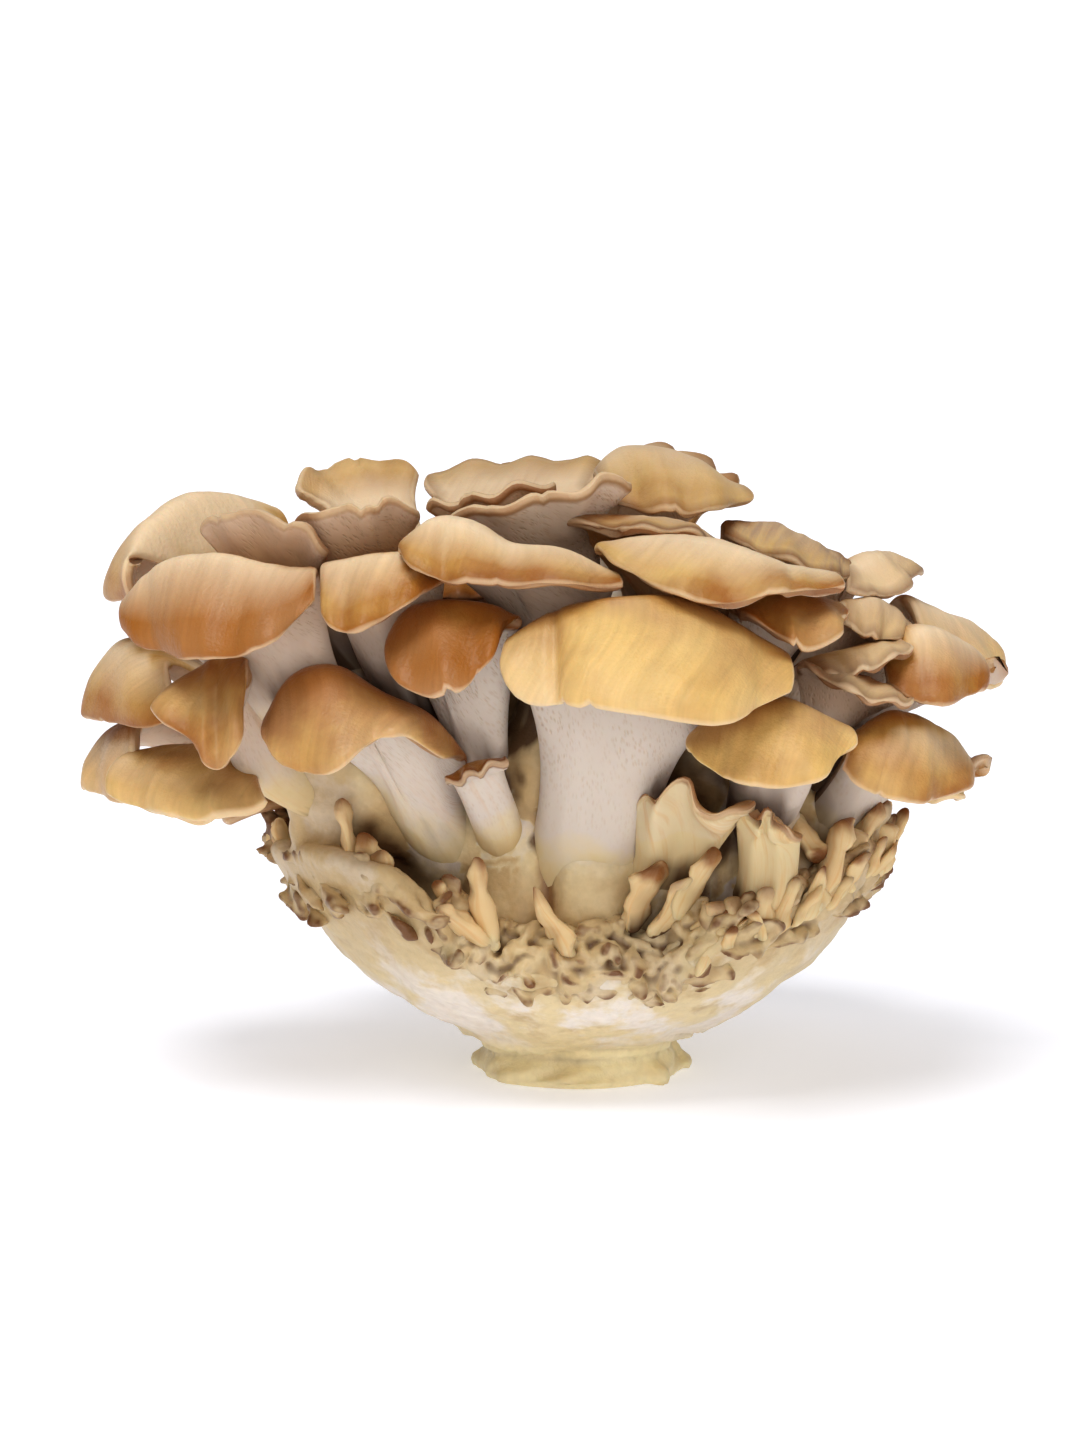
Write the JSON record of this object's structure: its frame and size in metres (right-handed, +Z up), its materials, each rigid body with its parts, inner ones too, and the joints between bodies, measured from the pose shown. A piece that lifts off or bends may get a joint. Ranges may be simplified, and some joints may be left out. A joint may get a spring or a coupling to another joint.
{
  "type": "maitake mushroom",
  "caption": "Whole maitake cluster: overlapping tan fronds on pale stalks that rise from one cream, bowl-shaped base with a small flat foot to stand on.",
  "frame": {"origin": "centre of the flat underside of the foot that the cluster stands on", "axes": "+Z up, along the way the cluster grew. +X is the cluster's widest direction, and the pictured front faces -Y."},
  "size_m": [0.1801, 0.1521, 0.1229],
  "materials": {
    "base_flesh": "cream, fibrous mushroom flesh with browned crinkles on the rim, moist and slightly translucent",
    "frond": "tan to ochre cap skin with a soft satin sheen, faint radial streaks, and an ivory pored underside and stalk"
  },
  "bodies": {
    "root": {"base": "base_flesh", "frond_back_low_1": "frond", "frond_back_low_2": "frond", "frond_back_low_3": "frond", "frond_back_low_4": "frond", "frond_back_low_5": "frond", "frond_back_low_6": "frond", "frond_back_middle_1": "frond", "frond_back_middle_2": "frond", "frond_back_middle_3": "frond", "frond_back_middle_4": "frond", "frond_back_middle_5": "frond", "frond_back_top_1": "frond", "frond_back_top_2": "frond", "frond_back_upper_1": "frond", "frond_back_upper_2": "frond", "frond_back_upper_3": "frond", "frond_back_upper_4": "frond", "frond_centre_cup": "frond", "frond_centre_cup_back": "frond", "frond_centre_left_curl": "frond", "frond_centre_left_inner": "frond", "frond_centre_lip": "frond", "frond_front_hood": "frond", "frond_front_right_hood": "frond", "frond_front_small_curl": "frond", "frond_left_back_hood": "frond", "frond_left_cup": "frond", "frond_left_front_cap": "frond", "frond_left_front_lobe": "frond", "frond_left_hood": "frond", "frond_left_hood_lobe": "frond", "frond_left_inner": "frond", "frond_left_low_cap": "frond", "frond_left_low_rim": "frond", "frond_left_mid_cap": "frond", "frond_low_right_folded": "frond", "frond_low_right_stout": "frond", "frond_right_back_hood": "frond", "frond_right_curled": "frond", "frond_right_flat": "frond", "frond_right_hood": "frond", "frond_right_leaf": "frond", "frond_right_lip": "frond", "frond_right_low_hood": "frond", "frond_right_ochre": "frond", "frond_right_oval": "frond", "frond_right_strip": "frond", "frond_right_wrinkled": "frond", "frond_top_left_cap": "frond", "frond_top_mid": "frond", "frond_top_right_hood": "frond"}
  },
  "joints": []
}
